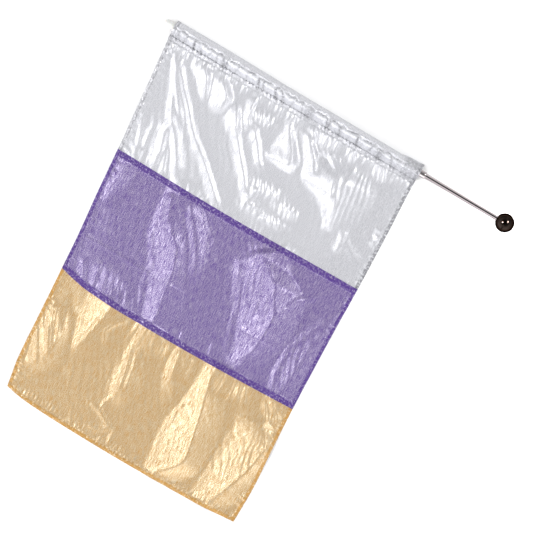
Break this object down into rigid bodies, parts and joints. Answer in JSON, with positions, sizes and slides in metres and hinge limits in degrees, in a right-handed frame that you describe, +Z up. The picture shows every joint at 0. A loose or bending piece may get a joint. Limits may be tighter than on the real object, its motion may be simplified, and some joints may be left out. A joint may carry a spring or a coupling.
{
  "type": "dance flag on a pole",
  "caption": "Rectangular lame dance flag in bands of silver, purple and gold, its sleeve gathered on a chrome pole with a white end tip and a black ball.",
  "frame": {"origin": "middle of the flag's outline in plan, on the surface that it lies on", "axes": "+X along the pole from its tip to its ball, +Y from the cloth's free edge to the pole, +Z up"},
  "size_m": [0.89, 0.9014, 0.0427],
  "materials": {
    "silver_lame": "shiny metallic weave",
    "purple_lame": "shiny metallic weave",
    "gold_lame": "shiny metallic weave",
    "chrome_tube": "polished",
    "white_tip": "smooth vinyl",
    "black_ball": "gloss"
  },
  "bodies": {
    "root": {"silver_panel": "silver_lame", "purple_panel": "purple_lame", "gold_panel": "gold_lame", "sleeve_tube": "chrome_tube", "handle_tube": "chrome_tube", "end_tip": "white_tip", "handle_ball": "black_ball"}
  },
  "joints": []
}
